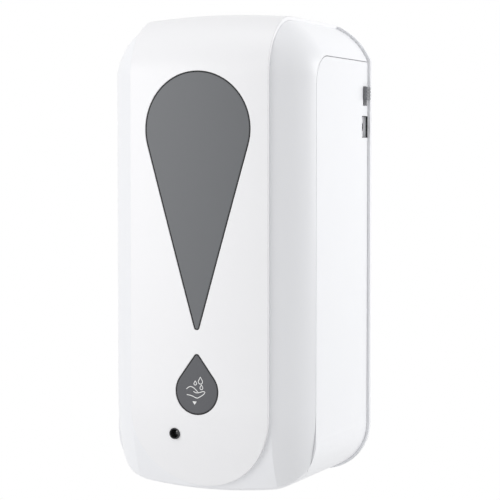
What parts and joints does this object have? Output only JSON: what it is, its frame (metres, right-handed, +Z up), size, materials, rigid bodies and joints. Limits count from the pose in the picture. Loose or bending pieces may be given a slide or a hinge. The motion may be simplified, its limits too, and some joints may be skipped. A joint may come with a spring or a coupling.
{
  "type": "wall mounted soap dispenser",
  "caption": "Touch-free wall mounted soap dispenser: hinged front with a drop window, refillable bottle, roller tube pump, battery pack and wall plate.",
  "frame": {"origin": "middle of the four wall holes, on the back face of the wall plate", "axes": "+Z up, +Y into the wall, so the front faces -Y; +X to the right of someone facing the front"},
  "size_m": [0.128, 0.11, 0.2715],
  "materials": {
    "white_shell": "satin moulded ABS",
    "white_panel": "gloss moulded ABS",
    "smoked_window": "smoked acrylic, gloss",
    "badge_grey": "gloss moulded ABS",
    "white_print": "moulded white inlay",
    "clear_lens": "clear polycarbonate",
    "lock_metal": "bright plated zinc",
    "zinc_steel": "zinc plated steel",
    "dark_window": "infrared-clear dark acrylic",
    "circuit_board": "solder-masked epoxy glass",
    "grey_abs": "fine spark-eroded ABS",
    "black_abs": "matt moulded ABS",
    "cell_jacket": "plain printed sleeve",
    "spring_steel": "nickel plated spring steel",
    "dark_knob": "matt moulded ABS",
    "clear_bottle": "translucent polypropylene",
    "cap_blue": "matt polypropylene",
    "silicone": "translucent silicone",
    "acetal": "natural acetal",
    "brass_pinion": "machined brass",
    "motor_can": "drawn steel can",
    "wire_red": "PVC insulation",
    "wire_grey": "PVC insulation"
  },
  "bodies": {
    "housing": {"wall_plate": "white_shell", "rear_housing": "white_shell", "hinge_pins": "zinc_steel", "sensor_window": "dark_window", "sensor_board": "circuit_board", "sensor_eyes": "dark_window", "chassis": "grey_abs", "battery_box": "black_abs", "battery_cells": "cell_jacket", "contact_plates": "spring_steel", "contact_springs": "spring_steel", "main_board": "circuit_board", "board_parts": "black_abs", "power_inlet": "black_abs", "switch_body": "black_abs", "pump_housing": "grey_abs", "pump_lid": "grey_abs", "motor": "motor_can", "motor_plate": "grey_abs", "idler_axle": "zinc_steel", "pump_tube": "silicone", "deck_socket": "grey_abs", "bottle_seal": "silicone", "nozzle": "grey_abs", "nozzle_valve": "silicone", "status_board": "circuit_board", "status_lamp": "clear_lens", "chassis_screws": "zinc_steel", "plate_screws": "zinc_steel", "pump_screws": "zinc_steel", "battery_wires": "wire_red", "motor_wires": "wire_red", "sensor_lead": "wire_grey", "lamp_lead": "wire_grey"},
    "cover": {"front_cover": "white_shell", "face_panel": "white_panel", "drop_window": "smoked_window", "badge_drop": "badge_grey", "badge_sign": "white_print", "status_lens": "clear_lens"},
    "cover_lock": {"lock_barrel": "lock_metal", "lock_cam": "zinc_steel", "lock_cam_screw": "zinc_steel"},
    "bottle": {"soap_bottle": "clear_bottle"},
    "cap": {"bottle_cap": "cap_blue", "cap_gasket": "silicone"},
    "battery_hatch": {"battery_door": "grey_abs"},
    "switch": {"switch_knob": "dark_knob"},
    "rotor": {"pump_rotor": "acetal", "roller_pins": "zinc_steel", "rotor_gear": "acetal"},
    "idler": {"idler_gear": "acetal"},
    "pinion": {"motor_pinion": "brass_pinion", "motor_shaft": "zinc_steel"},
    "roller_a": {"roller_1": "acetal"},
    "roller_b": {"roller_2": "acetal"},
    "roller_c": {"roller_3": "acetal"}
  },
  "joints": [
    {"name": "cover_hinge", "type": "hinge", "parent": "housing", "child": "cover", "pos_m": [0, -0.089, -0.128], "axis": [1, 0, 0], "range_deg": [0, 75]},
    {"name": "lock_turn", "type": "hinge", "parent": "cover", "child": "cover_lock", "pos_m": [0, -0.015, 0.1329], "axis": [0, 0, -1], "range_deg": [0, 90]},
    {"name": "bottle_lift", "type": "slide", "parent": "housing", "child": "bottle", "axis": [0, 0, 1], "range_m": [0, 0.006]},
    {"name": "cap_turn", "type": "hinge", "parent": "bottle", "child": "cap", "pos_m": [0, -0.06155, 0.1145], "axis": [0, 0, 1], "range_deg": [0, 120]},
    {"name": "battery_hatch_slide", "type": "slide", "parent": "housing", "child": "battery_hatch", "axis": [0, 0, 1], "range_m": [0, 0.012]},
    {"name": "switch_slide", "type": "slide", "parent": "housing", "child": "switch", "axis": [0, 0, -1], "range_m": [0, 0.003]},
    {"name": "pump_turn", "type": "hinge", "parent": "housing", "child": "rotor", "pos_m": [-0.021, -0.076, -0.078], "axis": [0, 1, 0], "continuous": true},
    {"name": "idler_turn", "type": "hinge", "parent": "housing", "child": "idler", "pos_m": [-0.00136, -0.076, -0.08515], "axis": [0, 1, 0], "continuous": true},
    {"name": "pinion_turn", "type": "hinge", "parent": "housing", "child": "pinion", "pos_m": [0.01511, -0.076, -0.07362], "axis": [0, 1, 0], "continuous": true},
    {"name": "roller_a_turn", "type": "hinge", "parent": "rotor", "child": "roller_a", "pos_m": [-0.0337, -0.076, -0.078], "axis": [0, 1, 0], "continuous": true},
    {"name": "roller_b_turn", "type": "hinge", "parent": "rotor", "child": "roller_b", "pos_m": [-0.01465, -0.076, -0.089], "axis": [0, 1, 0], "continuous": true},
    {"name": "roller_c_turn", "type": "hinge", "parent": "rotor", "child": "roller_c", "pos_m": [-0.01465, -0.076, -0.067], "axis": [0, 1, 0], "continuous": true}
  ],
  "couplings": [
    {"joint": "idler_turn", "follows": "pump_turn", "ratio": -3.3333},
    {"joint": "pinion_turn", "follows": "pump_turn", "ratio": 13.333},
    {"joint": "roller_a_turn", "follows": "pump_turn", "ratio": -3.1667},
    {"joint": "roller_b_turn", "follows": "pump_turn", "ratio": -3.1667},
    {"joint": "roller_c_turn", "follows": "pump_turn", "ratio": -3.1667}
  ]
}
